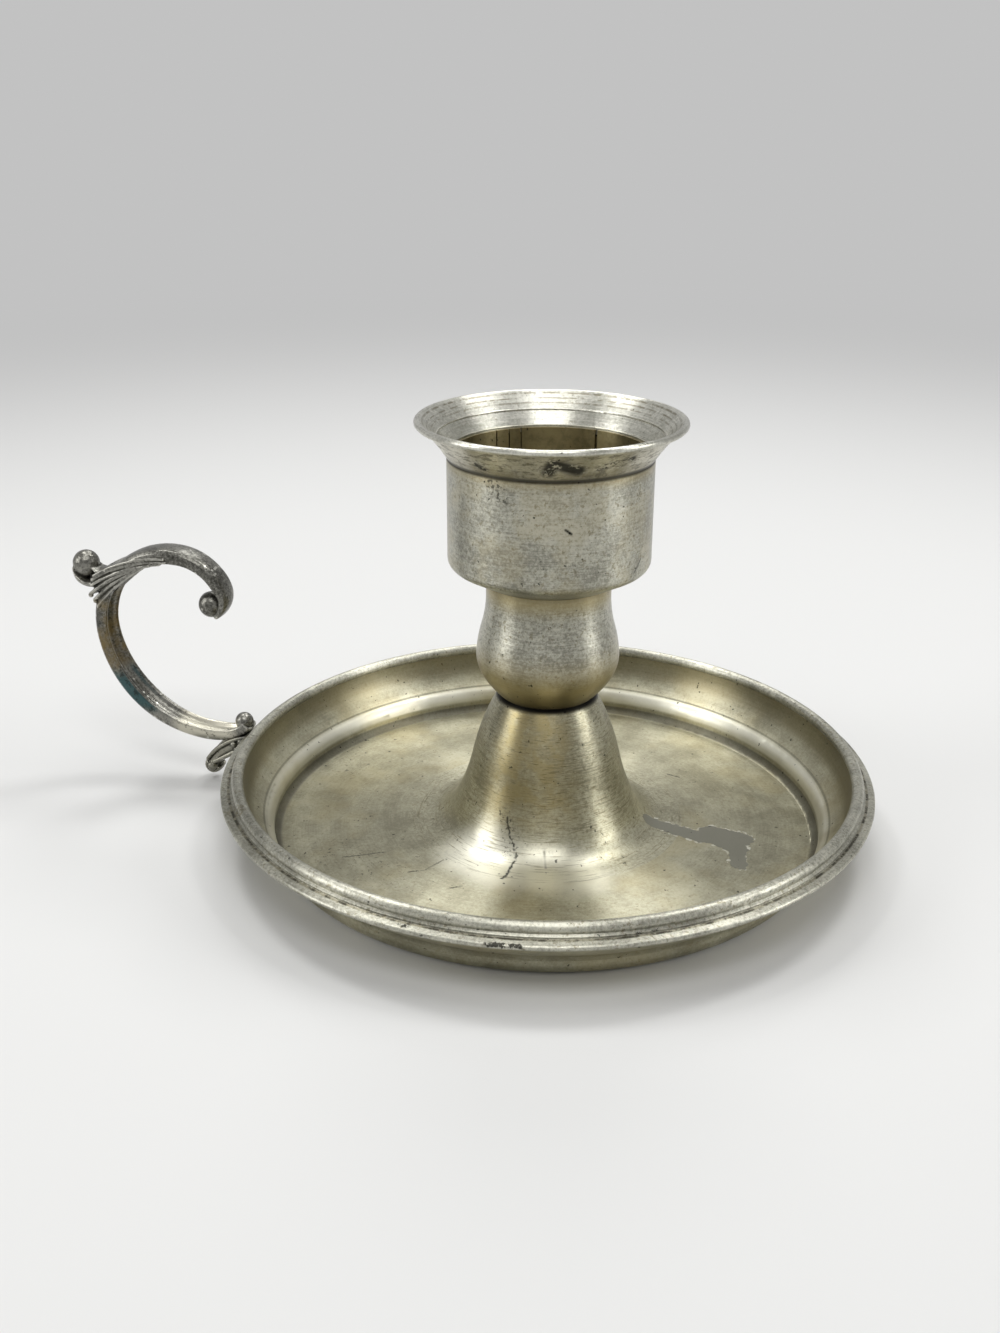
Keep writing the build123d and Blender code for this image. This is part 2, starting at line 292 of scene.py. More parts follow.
def spun_silver(name, marking, light, dull, rings, grain_share, gloss):
    """Satin silver plate, turned on a lathe; the given function adds its marks, painted highlights
    and shade among them.
    """
    metal = Metal(name)
    m = metal.maker
    lines = metal.lines = metal.lathe_lines(3.6, 4.5)
    blotch = metal.blotch = metal.noise(0.16, 5.0, 0.6)
    cloud = metal.noise(0.045, 3.0, 0.55)
    grain = metal.noise(1.5, 5.0, 0.8)
    specks = metal.noise(1.15, 4.0, 0.65).over(0.55, 0.66) * blotch.over(0.34, 0.54)
    pits = metal.noise(0.9, 2.0, 0.5).over(0.70, 0.75)
    wobble = metal.noise(0.06, 2.0, 0.5)
    rings = metal.z.over(1.5, 8.0) * (rings - FLOOR_RINGS) + FLOOR_RINGS
    ring_tone = TONE["lines"] * rings
    grain_tone = TONE["grain"] * grain_share
    tone = cloud * TONE["cloud"] + blotch * TONE["blotch"] + lines * ring_tone + grain * grain_tone
    middle = (ring_tone + (TONE["cloud"] + TONE["blotch"] + grain_tone)) / 2
    marks = {**NO_MARKS, **marking(metal)}
    dark = pits * 0.8 + marks["black"]
    lit = tone.over(middle - TONE_HALF_WIDTH, middle + TONE_HALF_WIDTH)
    colour = m.blend(lit, dull, light)
    for mark, stain in (
        (specks * (0.5 * grain_share), BROWN),
        # Painted highlights from the piece's marks
        (marks["wear_and_painted_highlight"], PAINTED_HIGHLIGHT_SILVER),
        (marks["ochre"], OCHRE),
        (marks["brown"], BROWN),
        (marks["bare"], BARE_METAL),
        (marks["film"], FILM_EDGE),
        (dark, BLACK_TARNISH_AND_SHADE),
    ):
        colour = m.blend(mark, colour, stain)
    roughness = blotch * ROUGH["blotch"] + grain * ROUGH["grain"] + lines * ROUGH["lines"]
    roughness = roughness + dark * ROUGH["dark"] + (ROUGH["base"] - gloss)
    roughness = roughness + marks["bare"] * ROUGH["bare"]
    height = lines * (HEIGHT["lines"] * rings) + grain * HEIGHT["grain"]
    height = height + wobble * HEIGHT["wobble"] - specks * HEIGHT["specks"]
    height = height - dark * HEIGHT["dark"] - marks["bare"] * HEIGHT["bare"]
    return metal.finish(colour, roughness, height, LATHE_GRAIN)


# Wear, painted highlights and painted shade of each spun piece, with its places as points in the
# model

# Where the plate has come off, right of the stem: middle lines seen from above, half widths
PATCH = [
    ([(23.4, 1.4, 0.0), (28.0, 0.4, 0.0)], 1.8),
    ([(28.0, 0.2, 0.0), (35.0, -2.0, 0.0)], 2.1),
    ([(36.6, 1.0, 0.0), (43.0, 0.4, 0.0)], 2.7),
    ([(38.0, -2.0, 0.0), (43.0, -4.0, 0.0)], 2.2),
    ([(42.6, -4.0, 0.0), (43.9, -10.2, 0.0)], 1.7),
]
FILM_WIDTH = 0.45
# Where the front of the trumpet's foot gets a painted highlight
PAINTED_FOOT_HIGHLIGHT = [(-10.0, -22.0, 2.2), (0.0, -27.0, 1.4), (12.0, -25.0, 1.4)]


def peeled_patch(metal):
    """Bare grey metal right of the stem, and the bright, broken edge of the plate round it."""
    m = metal.maker
    flat = m.vector("MULTIPLY", m.shaken(metal.place, 0.9, 1.7), (1.0, 1.0, 0.0))
    peeled = strongest([m.stroke(flat, line, half, 0.12) for line, half in PATCH])
    near = strongest([m.stroke(flat, line, half + FILM_WIDTH, 0.25) for line, half in PATCH])
    broken = metal.noise(0.6, 3.0, 0.6).over(0.52, 0.60)
    above = metal.z.over(0.6, 0.85) * metal.upper_face
    return peeled * above, (near - peeled).most(0.0) * broken * above * 0.8


def painted_foot_highlight(metal):
    """The front of the trumpet's foot, brightened as a painted highlight."""
    return metal.stroke(PAINTED_FOOT_HIGHLIGHT, 2.0, 9.0) * metal.upper_face * 0.85


CREASE_OUT = (57.2, 58.2)  # where the pan's floor turns up, and how high its dark line reaches
CREASE_TOP = (2.6, 2.0)
STEP_OUT, STEP_HEIGHT = 61.2, 6.8  # the step between the pan's ledge and its cove
LEDGE_FOOT, LEDGE_TOP = (2.8, 3.8), (6.6, 5.8)
COVE = (8.0, 10.6)
STAINS = [(-40, -27, 1), (-33, -32, 1), (-25, -34, 1)]
FAR_STAINS = [(-48, 13, 1), (-50, 8, 1)]
SCRATCHES = [
    [(-36.2, -28.8, 1.0), (-28.5, -25.5, 1.4)],
    [(-21.3, -31.9, 1.4), (-18.1, -30.5, 1.5), (-15.6, -25.8, 1.7)],
    [(-11.1, -35.7, 1.5), (-9.0, -34.5, 1.5)],
    [(23.1, 25.8, 1.6), (26.0, 25.0, 1.6)],
]


def pan_marks(metal):
    m = metal.maker
    inside = metal.inner_face
    # Painted shade: dark lines in the corner where the floor turns up, and at the step under the
    # cove
    crease = metal.out.over(*CREASE_OUT) * metal.z.over(*CREASE_TOP) * inside
    step = metal.out.near(STEP_OUT, 0.08, 0.25) * metal.z.near(STEP_HEIGHT, 0.8, 0.4)
    # Brown stain with painted shade on the cove's inner wall, under the rim bead
    cove = inside * metal.z.over(*COVE)
    # Painted highlight on the convex ledge inside the pan
    ledge = metal.z.over(*LEDGE_FOOT) * metal.z.over(*LEDGE_TOP) * inside
    spots = metal.noise(1.0, 4.0, 0.75).over(0.56, 0.66)
    stained = metal.stroke(STAINS, 2.0, 6.0)
    stained = stained.most(metal.stroke(FAR_STAINS, 1.0, 5.0) * 0.7) * metal.upper_face
    scratches = m.strokes(m.shaken(metal.place, 2.2, 0.7), SCRATCHES, 0.02, 0.35)
    scratches = scratches * metal.upper_face
    peeled, film = peeled_patch(metal)
    warm = metal.noise(0.05, 3.0, 0.6).over(0.46, 0.66)
    return {
        # Painted highlights on the ledge and on the front of the foot
        "wear_and_painted_highlight": (ledge * 0.75).most(painted_foot_highlight(metal)),
        "ochre": warm * 0.30,
        "brown": cove * (metal.blotch * 0.6 + 0.25),
        # Painted shade in the crease and at the step, with real stains and scratches
        "black": strongest([crease * 0.65, step * 0.4, spots * stained * 0.75, scratches * 0.8]),
        "bare": peeled,
        "film": film,
    }


SEAM_IN = 1.75  # the solder seam, inwards from the rim's edge and up to this height
SEAM_TOP = (14.3, 13.7)
# Dark patches on the front of the rim: line, softness, strength
RIM_PATCHES = [
    ([(5.5, -69.6, 12.9), (12.4, -68.7, 13.1)], 0.8, 1.0),
    ([(29.0, -61.8, 14.0), (34.0, -59.0, 14.0)], 1.0, 0.8),
    ([(-11.0, -68.0, 13.1), (-8.5, -68.4, 13.1)], 0.9, 0.8),
]
RIM_STAIN = [(-56.9, -37.7, 13.6), (-53.5, -41.0, 15.6)]


def rim_wear(metal):
    seam = metal.out.near(reach("rim_border") - SEAM_IN, 0.10, 0.32) * metal.z.over(*SEAM_TOP)
    ragged = metal.noise(0.30, 5.0, 0.7).over(0.46, 0.56)
    torn = metal.noise(0.9, 5.0, 0.75)
    spots = metal.noise(1.1, 5.0, 0.75).over(0.58, 0.66)
    wear_and_painted_highlight = metal.noise(0.10, 3.0, 0.6).over(0.48, 0.62)
    patch = strongest(
        [metal.stroke(line, 0.2, soft) * share for line, soft, share in RIM_PATCHES]
    )
    patch = (patch * 0.42 + torn).over(0.80, 0.90)
    stain = metal.stroke(RIM_STAIN, 0.3, 1.6) * torn.over(0.40, 0.55)
    return {
        "brown": (seam * 0.5).most(stain * 0.7),
        "black": strongest([seam * ragged * 0.8, spots * wear_and_painted_highlight * 0.55, patch * 0.9]),
    }


CRACK = [
    (-4.0, -17.9, 9.2), (-3.3, -19.0, 7.0), (-2.0, -20.5, 4.5), (-0.7, -22.4, 3.0),
    (-1.3, -24.6, 1.9), (-1.3, -28.0, 1.8), (-2.0, -30.0, 1.7),
]
CRUMBS = [(-4.8, -17.6, 9.6), (-2.2, -20.2, 5.0), (-2.8, -21.6, 3.6)]
SHORT_CRACK = [(4.7, -20.6, 3.9), (5.8, -23.7, 2.0)]


def stem_marks(metal):
    m = metal.maker
    crack = m.stroke(m.shaken(metal.place, 1.1, 1.1), CRACK, 0.03, 0.42)
    crumbs = metal.stroke(CRUMBS, 0.5, 2.2)
    crumbs = crumbs * metal.noise(1.3, 4.0, 0.7).over(0.55, 0.62)
    short_crack = metal.stroke(SHORT_CRACK, 0.05, 0.4)
    # Painted shade: the top of the stem, under the knop, is blackened
    gap = (metal.z - top("stem")).over(-1.0, -0.1)
    facing = metal.front.over(-0.70, -0.96)
    streak = metal.noise(0.25, 3.0, 0.6).over(0.38, 0.60)
    ochre = facing * metal.z.over(4.0, 14.0) * (streak * 0.5 + 0.5)
    nicks = metal.nicks(7.0, 4.0).over(0.58, 0.68) * metal.z.over(3.0, 9.0)
    peeled, film = peeled_patch(metal)
    return {
        # Painted highlight on the front of the foot
        "wear_and_painted_highlight": painted_foot_highlight(metal),
        "ochre": ochre * 0.75,
        "brown": (metal.lines.over(0.54, 0.64) * 0.6).most(nicks * 0.7),
        "black": strongest([gap, crack * 0.92, crumbs * 0.85, short_crack * 0.45]),
        "bare": peeled,
        "film": film,
    }


def knop_marks(metal):
    rise = metal.z - foot("knop")
    nicks = metal.nicks(9.0, 4.0).over(0.58, 0.68) * rise.over(11.0, 5.0)
    return {
        "ochre": (rise.over(15.0, 4.5) * 0.9).most(rise.over(20.0, 24.5) * 0.7),
        "brown": strongest([rise.over(8.0, 0.5) * 0.85, rise.over(23.9, 25.4) * 0.4, nicks * 0.6]),
        # Painted shade: the knop's lowest edge, where it sits in the stem, is blackened
        "black": rise.over(0.9, 0.1),
    }


CUP_PITS = [(-6.8, -19.6, 81.5), (-4.6, -20.3, 79.2)]
CUP_MARK = [(7.6, -19.4, 73.3), (8.6, -19.0, 72.5)]
CUP_SCRATCH = [(20.0, -6.2, 64.6), (19.2, -8.2, 62.4)]


def cup_marks(metal):
    inwards = reach("candle_cup") - metal.out
    down = top("candle_cup") - metal.z
    inside = metal.inner_face * inwards.over(0.3, 0.6)
    # Painted shade under the cup's bottom edge, laid on in brown
    under = (metal.z - foot("candle_cup")).over(1.7, 0.3)
    pits = metal.stroke(CUP_PITS, 0.8, 1.8)
    pits = pits * metal.noise(1.2, 3.0, 0.6).over(0.52, 0.60)
    mark = metal.stroke(CUP_MARK, 0.08, 0.35)
    scratch = metal.stroke(CUP_SCRATCH, 0.05, 0.3)
    warm = metal.noise(0.09, 3.0, 0.6).over(0.48, 0.62)
    return {
        "ochre": strongest([down.over(3.1, 0.2) * 0.55, inside * 0.5, warm * 0.22]),
        "brown": (inside * 0.6).most(under * 0.75),
        "black": strongest([pits * 0.7, mark * 0.85, scratch * 0.6, down.over(0.7, 0.1) * 0.85]),
    }


COLLAR_PATCH = [(4.5, -21.5, 85.2), (6.0, -23.5, 86.8), (10.0, -20.6, 85.2)]
COLLAR_LEFT_SPOT = [(-10.0, -20.1, 85.2), (-7.8, -20.4, 84.2)]
COLLAR_RIGHT_SPOT = [(13.6, -18.6, 85.6), (19.0, -14.6, 86.6)]
# Turned lines inside the collar: inwards from its edge, half width, softness, strength
COLLAR_LINES = [(1.7, 0.05, 0.22, 1.0), (2.6, 0.02, 0.16, 1.0), (3.4, 0.02, 0.2, 0.8)]


def collar_marks(metal):
    down = top("nozzle_collar") - metal.z
    rise = metal.z - foot("nozzle_collar")
    inwards = reach("nozzle_collar") - metal.out
    # The flare's underside and the foot of its throat are tarnished, with painted shade where they
    # face down under the flare
    below = metal.facing_up.over(0.05, -0.25) * down.over(0.6, 1.8)
    throat = metal.facing_out.over(0.6, 0.9) * rise.over(2.8, 1.6)
    outside = below.most(throat)
    ragged = metal.noise(0.40, 5.0, 0.7)
    streaks = metal.nicks(9.0, 1.6, 4.0, 0.7).over(0.50, 0.62)
    patch = metal.stroke(COLLAR_PATCH, 0.7, 1.5) * ragged.over(0.40, 0.47) * outside
    spots = metal.stroke(COLLAR_LEFT_SPOT, 0.3, 1.0)
    spots = spots.most(metal.stroke(COLLAR_RIGHT_SPOT, 0.4, 1.0))
    spots = spots * ragged.over(0.46, 0.54) * outside
    turned = strongest(
        [inwards.near(place, half, soft) * share for place, half, soft, share in COLLAR_LINES]
    )
    turned = turned * ragged.over(0.40, 0.55) * metal.facing_up.over(0.2, 0.5)
    # Black patches and spots of tarnished silver, with painted shade under the flare and at the
    # throat's foot
    tarnish_and_shade = strongest(
        [
            throat * rise.over(1.0, 0.2),
            patch,
            spots,
            below * ragged.over(0.56, 0.66) * 0.5,
            below * streaks * 0.45,
        ]
    )
    return {
        "ochre": outside * 0.30,
        "brown": strongest([outside * streaks * 0.4, throat * 0.45, turned * 0.7]),
        "black": tarnish_and_shade * 0.92,
    }


def sleeve_wear(metal):
    streaks = metal.noise(0.35, 5.0, 0.7).over(0.42, 0.70)
    return {"ochre": 0.8, "brown": streaks * 0.3 + 0.35, "black": streaks * 0.2}


CAST_DARK = (0.085, 0.083, 0.072)
CAST_LIGHT = (0.27, 0.264, 0.235)
CAST_SPINE = (0.15, 0.105, 0.035)
CAST_TEAL = (0.045, 0.095, 0.10)
# Painted highlight, low on the handle near the rim
CAST_PAINTED_HIGHLIGHT = (0.64, 0.61, 0.50)
CAST_ROOT = (0.10, 0.10, 0.08)
CAST_HOLLOW = (0.035, 0.034, 0.026)
CAST_EDGE = (0.60, 0.59, 0.53)


def cast_silver(name):
    """Tarnished cast silver: dark in its hollows, rubbed bright on its edges."""
    metal = Metal(name)
    m = metal.maker
    x, z = metal.x, metal.z
    blotch = metal.noise(0.16, 4.0, 0.6)
    grain = metal.noise(2.0, 4.0, 0.7)
    dark = metal.noise(0.8, 4.0, 0.7).over(0.56, 0.66)
    wobble = metal.noise(0.4, 2.0, 0.5)
    pointed = m.node("ShaderNodeNewGeometry", {}, out=7)  # 0.5 on a flat face
    hollow = pointed.over(0.497, 0.475)
    edge = pointed.over(0.515, 0.550)
    spine = x.over(-96.0, -101.0) * z.over(24.0, 28.0) * z.over(46.0, 40.0)
    teal = z.near(21.0, 2.4, 3.5) * x.over(-89.0, -93.0) * metal.facing_up.over(0.5, 0.2)
    # Painted highlight: a bright cream patch low on the handle's curve, near the rim
    rubbed = z.over(17.5, 14.5) * x.near(-80.0, 5.0, 4.0)
    root = z.over(12.6, 11.4) * x.over(-84.0, -81.0) * z.over(16.0, 12.0)
    colour = m.blend((blotch * 0.45 + grain * 0.55).over(0.40, 0.60), CAST_DARK, CAST_LIGHT)
    for mark, share, stain in (
        (spine * blotch.over(0.35, 0.6), 0.85, CAST_SPINE),
        (teal, 0.85, CAST_TEAL),
        (rubbed, 0.8, CAST_PAINTED_HIGHLIGHT),
        (root, 0.65, CAST_ROOT),
        (hollow, 0.9, CAST_HOLLOW),
        (edge, 0.75, CAST_EDGE),
        (dark, 0.65, BLACK_TARNISH_AND_SHADE),
    ):
        colour = m.blend(mark * share, colour, stain)
    roughness = blotch * 0.15 + grain * 0.15 + hollow * 0.2 + 0.18
    height = grain * 0.006 + wobble * 0.06 - dark * 0.012
    return metal.finish(colour, roughness, height)


STEEL_DARK = (0.28, 0.27, 0.26)
STEEL_LIGHT = (0.45, 0.44, 0.42)
RUST = (0.16, 0.10, 0.06)


def plain_steel(name):
    metal = Metal(name)
    m = metal.maker
    grain = metal.noise(1.5, 4.0, 0.7)
    rust = metal.noise(0.4, 4.0, 0.7).over(0.52, 0.7)
    colour = m.blend(grain.over(0.3, 0.7), STEEL_DARK, STEEL_LIGHT)
    colour = m.blend(rust * 0.6, colour, RUST)
    return metal.finish(colour, grain * 0.2 + 0.3, grain * 0.01)


# Finish of each spun node: its marks with painted highlights and shade, light and dull colour,
# strength of the tool lines, strength of the grain, and gloss
SPUN = {
    "pan": ("pan_silver", pan_marks, BRIGHT_SILVER, DULL_SILVER, 0.35, 0.6, 0.0),
    "rim_border": ("rim_silver", rim_wear, PALE_SILVER, GREY_SILVER, 0.3, 1.2, 0.0),
    "stem": ("stem_silver", stem_marks, BRIGHT_SILVER, DULL_SILVER, 1.8, 1.0, 0.0),
    "knop": ("knop_silver", knop_marks, PALE_SILVER, GREY_SILVER, 0.7, 1.3, 0.0),
    "candle_cup": ("cup_silver", cup_marks, PALE_SILVER, GREY_SILVER, 0.6, 1.2, 0.0),
    "nozzle_collar": ("collar_silver", collar_marks, CLEAN_SILVER, SHADED_SILVER, 0.8, 0.8, 0.06),
    "nozzle_sleeve": ("sleeve_silver", sleeve_wear, BRIGHT_SILVER, DULL_SILVER, 0.5, 1.0, 0.0),
}
FASTENERS = {"tie_bolt": "bolt_steel", "bolt_washer": "washer_steel", "bolt_nut": "nut_steel"}

finishes = {node: spun_silver(*recipe) for node, recipe in SPUN.items()}
finishes.update({node: plain_steel(name) for node, name in FASTENERS.items()})
for node, material in finishes.items():
    for slot in bpy.data.objects[node].material_slots:
        slot.material = material


# Shapes of the cast handle, with its places as pairs: distance from the axis, and height


def between(stations, values, share):
    """The value at a share of the way, eased from station to station."""
    for number in range(1, len(stations)):
        if share <= stations[number] or number == len(stations) - 1:
            low, high = stations[number - 1], stations[number]
            part = (share - low) / (high - low)
            part = part * part * (3 - 2 * part)
            return values[number - 1] + part * (values[number] - values[number - 1])


def section_frame(place, aim, width, depth, side=0.0):
    """Matrix that sets a section across the way at its place, in metres; the handle is at -X."""
    out, up = place
    across = Vector((0.0, 1.0, 0.0)) * width / 2
    outward = Vector((-sin(aim), 0.0, -cos(aim))) * depth / 2
    ahead = Vector((-cos(aim), 0.0, sin(aim)))
    centre = (-out, side, up)
    columns = (across, outward, ahead, centre)
    rows = [[column[axis] * MM for column in columns] for axis in range(3)]
    return Matrix(rows + [[0, 0, 0, 1]])


def arc_walk(start, aim, arcs, step):
    """Places, aims and shares of the way along tangent arcs of (radius, left turn in degrees)."""
    out, up = start
    aim = radians(aim)
    walk = [((out, up), aim, 0.0)]
    run = 0.0
    for radius, turn in arcs:
        count = max(2, round(radius * radians(abs(turn)) / step))
        each = radians(turn) / count
        chord = 2 * radius * sin(abs(each) / 2)
        for _ in range(count):
            aim += each / 2
            out += chord * cos(aim)
            up += chord * sin(aim)
            aim += each / 2
            run += chord
            walk.append(((out, up), aim, run))
    return [(place, angle, length / run) for place, angle, length in walk]


def three_point_walk(points, count):
    """Places, aims and shares of the way along the arc through three points."""
    (ax, ay), (bx, by), (cx, cy) = points
    aa, bb, cc = ax**2 + ay**2, bx**2 + by**2, cx**2 + cy**2
    divisor = 2 * (ax * (by - cy) + bx * (cy - ay) + cx * (ay - by))
    middle_out = (aa * (by - cy) + bb * (cy - ay) + cc * (ay - by)) / divisor
    middle_up = (aa * (cx - bx) + bb * (ax - cx) + cc * (bx - ax)) / divisor
    radius = hypot(ax - middle_out, ay - middle_up)
    first = atan2(ay - middle_up, ax - middle_out)
    last = atan2(cy - middle_up, cx - middle_out)
    way = 1 if (bx - ax) * (cy - by) - (by - ay) * (cx - bx) > 0 else -1
    turn = (last - first) * way % (2 * pi) * way
    walk = []
    for number in range(count + 1):
        angle = first + turn * number / count
        place = (middle_out + radius * cos(angle), middle_up + radius * sin(angle))
        walk.append((place, angle + way * pi / 2, number / count))
    return walk


def sweep(bm, section, frames):
    """Extrude the section from frame to frame and close both ends."""
    ring = [bm.verts.new(frames[0] @ Vector((across, deep, 0.0))) for across, deep in section]
    first = [bm.edges.new(pair) for pair in zip(ring, ring[1:] + ring[:1])]
    edges = first
    for one, two in zip(frames, frames[1:]):
        made = bmesh.ops.extrude_edge_only(bm, edges=edges)["geom"]
        verts = {item for item in made if isinstance(item, bmesh.types.BMVert)}
        edges = [
            item
            for item in made
            if isinstance(item, bmesh.types.BMEdge) and set(item.verts) <= verts
        ]
        bmesh.ops.transform(bm, matrix=two @ one.inverted(), verts=list(verts))
    for rim in (first, edges):
        bmesh.ops.edgeloop_fill(bm, edges=rim)


LOBE_SIDES = 12
LOBE_SECTION = [
    (cos(2 * pi * n / LOBE_SIDES), sin(2 * pi * n / LOBE_SIDES)) for n in range(LOBE_SIDES)
]
LOBE_STATIONS = [0.0, 0.5, 1.0]


def lobe(bm, points, widths, depths, sides=(0.0, 0.0, 0.0), count=14):
    """A tapered bar along a three-point arc: its widths, depths and places across at its start,
    middle and end."""
    frames = [
        section_frame(
            place, aim, *(between(LOBE_STATIONS, row, share) for row in (widths, depths, sides))
        )
        for place, aim, share in three_point_walk(points, count)
    ]
    sweep(bm, LOBE_SECTION, frames)


def ball(bm, place, radius, side=0.0, segments=24):
    bmesh.ops.create_uvsphere(
        bm,
        u_segments=segments,
        v_segments=segments // 2,
        radius=radius * MM,
        matrix=Matrix.Translation(Vector((-place[0], side, place[1])) * MM),
    )


def cast_piece(name, bm, grain, soften):
    """A mesh object whose lobes are joined at the grain, in millimetres, and then softened."""
    bmesh.ops.recalc_face_normals(bm, faces=bm.faces)
    mesh = bpy.data.meshes.new(name)
    bm.to_mesh(mesh)
    bm.free()
    piece = bpy.data.objects.new(name, mesh)
    scene.collection.objects.link(piece)
    join = piece.modifiers.new("join", "REMESH")
    join.mode = "VOXEL"
    join.voxel_size = grain * MM
    calm = piece.modifiers.new("calm", "SMOOTH")
    calm.factor = 0.5
    calm.iterations = soften
    settled = piece.evaluated_get(bpy.context.evaluated_depsgraph_get())
    shape = bpy.data.meshes.new_from_object(settled)
    piece.modifiers.clear()
    piece.data = shape
    for face in shape.polygons:
        face.use_smooth = True
    shape.materials.append(cast)
    return piece


STRAP_START = (69.8, 14.828)
STRAP_AIM = -47.0
STRAP_ARCS = [(9.0, 41), (25.8, 87), (18.0, 108), (12.2, 57), (5.0, 84)]
STRAP_STEP = 0.6
STRAP_STATIONS = [0.0, 0.12, 0.30, 0.48, 0.70, 0.90, 1.0]
STRAP_WIDTHS = [4.6, 5.6, 6.2, 6.0, 7.2, 5.8, 3.8]
STRAP_DEPTHS = [2.4, 3.0, 3.5, 3.2, 3.5, 2.8, 1.4]
# Half of the strap's section, across and outwards, as shares of half its width and depth: a
# rounded back, a lip at each edge and a channel down the inner side
STRAP_HALF_SHARES = [
    (0.0, 1.04), (0.45, 1.0), (0.80, 0.84), (1.0, 0.42), (1.03, -0.35), (0.98, -0.90),
    (0.84, -1.06), (0.68, -0.92), (0.52, -0.42), (0.28, -0.10), (0.0, 0.0),
]
THUMB_BALL, THUMB_BALL_RADIUS = (107.35, 50.3), 3.05
CURL_BALL, CURL_BALL_RADIUS = (77.0, 43.3), 2.95
RIM_BALL, RIM_BALL_RADIUS = (71.1, 15.35), 2.1
# The thumb leaf's body and the cradle of the ball, as points, widths and depths
LEAF_LOBES = [
    ([(96.5, 51.9), (101.0, 49.3), (105.2, 46.9)], [4.8, 6.0, 5.6], [1.2, 2.2, 2.4]),
    ([(99.5, 48.8), (102.6, 46.4), (105.2, 44.1)], [5.8, 6.2, 5.2], [2.4, 2.7, 1.4]),
    ([(101.5, 45.4), (103.2, 43.6), (104.3, 41.8)], [5.8, 6.0, 5.2], [2.2, 2.3, 1.2]),
    ([(101.4, 49.6), (103.6, 49.0), (104.9, 49.9)], [4.2, 5.2, 4.6], [1.6, 1.5, 0.8]),
    ([(104.6, 46.2), (108.0, 46.6), (109.8, 49.6)], [5.4, 5.6, 4.6], [2.2, 1.7, 0.8]),
]
# The leaf's ribs, which run into the strap on both sides, as points and depth
LEAF_RIBS = [
    ([(104.2, 48.4), (98.0, 51.6), (86.0, 54.0)], 0.7),
    ([(104.7, 47.4), (99.0, 50.5), (85.6, 53.2)], 0.8),
    ([(105.0, 46.1), (98.8, 49.4), (87.0, 52.7)], 0.8),
    ([(105.4, 44.0), (99.9, 47.9), (89.5, 52.2)], 0.9),
    ([(104.6, 42.7), (99.6, 46.8), (91.4, 51.4)], 0.75),
    ([(103.9, 41.2), (99.2, 45.9), (92.8, 50.7)], 0.75),
]
RIB_WIDTHS = [0.9, 1.0, 0.9]
RIB_TIP_DEPTH = 0.5
RIB_SIDES = [3.0, 3.3, 3.45]
RIB_BEADS = [((105.3, 43.8), 0.62), ((104.4, 42.4), 0.50)]
BEAD_SIDE = 2.9
SCROLL_GRAIN = 0.185
SOFTENING = 3


def finger_scroll():
    """The strap, its three balls and the thumb leaf with ribs on both sides."""
    whole = bmesh.new()
    mirrored = [(-across, deep) for across, deep in reversed(STRAP_HALF_SHARES[1:-1])]
    frames = [
        section_frame(
            place,
            aim,
            between(STRAP_STATIONS, STRAP_WIDTHS, share),
            between(STRAP_STATIONS, STRAP_DEPTHS, share),
        )
        for place, aim, share in arc_walk(STRAP_START, STRAP_AIM, STRAP_ARCS, STRAP_STEP)
    ]
    sweep(whole, STRAP_HALF_SHARES + mirrored, frames)
    for points, widths, depths in LEAF_LOBES:
        lobe(whole, points, widths, depths)
    for hand in (-1, 1):
        for points, depth in LEAF_RIBS:
            sides = [hand * side for side in RIB_SIDES]
            lobe(whole, points, RIB_WIDTHS, [depth, depth, RIB_TIP_DEPTH], sides)
        for place, radius in RIB_BEADS:
            ball(whole, place, radius, hand * BEAD_SIDE, 12)
    ball(whole, THUMB_BALL, THUMB_BALL_RADIUS)
    ball(whole, CURL_BALL, CURL_BALL_RADIUS)
    ball(whole, RIM_BALL, RIM_BALL_RADIUS)
    return cast_piece("cast_scroll", whole, SCROLL_GRAIN, SOFTENING)


BRACKET_LEAF = [(69.4, 11.0), (75.0, 8.5), (79.0, 4.6)]
BRACKET_CURL = [(80.2, 4.8), (79.8, 2.5), (77.7, 3.5)]
# The leaf's side ribs, as points, widths and depths, and its beads, as place, radius, share of
# the way out to the ribs and segments
BRACKET_RIBS = [
    ([(69.8, 12.2), (75.6, 9.9), (80.2, 5.4)], [1.0, 1.3, 1.1], [0.9, 1.1, 0.9]),
    ([(70.4, 9.7), (74.6, 7.3), (78.6, 4.9)], [1.0, 1.4, 1.2], [0.9, 1.2, 1.0]),
]
BRACKET_BEADS = [
    ((71.4, 10.8), 0.95, 1.0, 12),
    ((73.2, 10.1), 0.80, 1.08, 12),
    ((72.6, 8.9), 0.75, 1.05, 12),
    ((79.1, 3.9), 1.25, 0.9, 16),
]
BRACKET_SIDE = 2.0
BRACKET_GRAIN = 0.12


def rim_bracket():
    """The leaf under the rim, its curl, and ribs and beads on both sides."""
    whole = bmesh.new()
    lobe(whole, BRACKET_LEAF, [4.2, 5.0, 4.8], [3.0, 3.6, 3.0])
    lobe(whole, BRACKET_CURL, [4.6, 4.4, 4.0], [1.6, 1.5, 1.3], count=10)
    for side in (-BRACKET_SIDE, BRACKET_SIDE):
        for points, widths, depths in BRACKET_RIBS:
            lobe(whole, points, widths, depths, (side, side, side))
        for place, radius, share, segments in BRACKET_BEADS:
            ball(whole, place, radius, side * share, segments)
    return cast_piece("cast_bracket", whole, BRACKET_GRAIN, SOFTENING)


cast = cast_silver("cast_silver")
scroll = finger_scroll()
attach(scroll, "stick")
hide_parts("finger_scroll")
leaf = rim_bracket()
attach(leaf, "stick")
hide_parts("rim_bracket")


# Floor, background and lamps, in metres

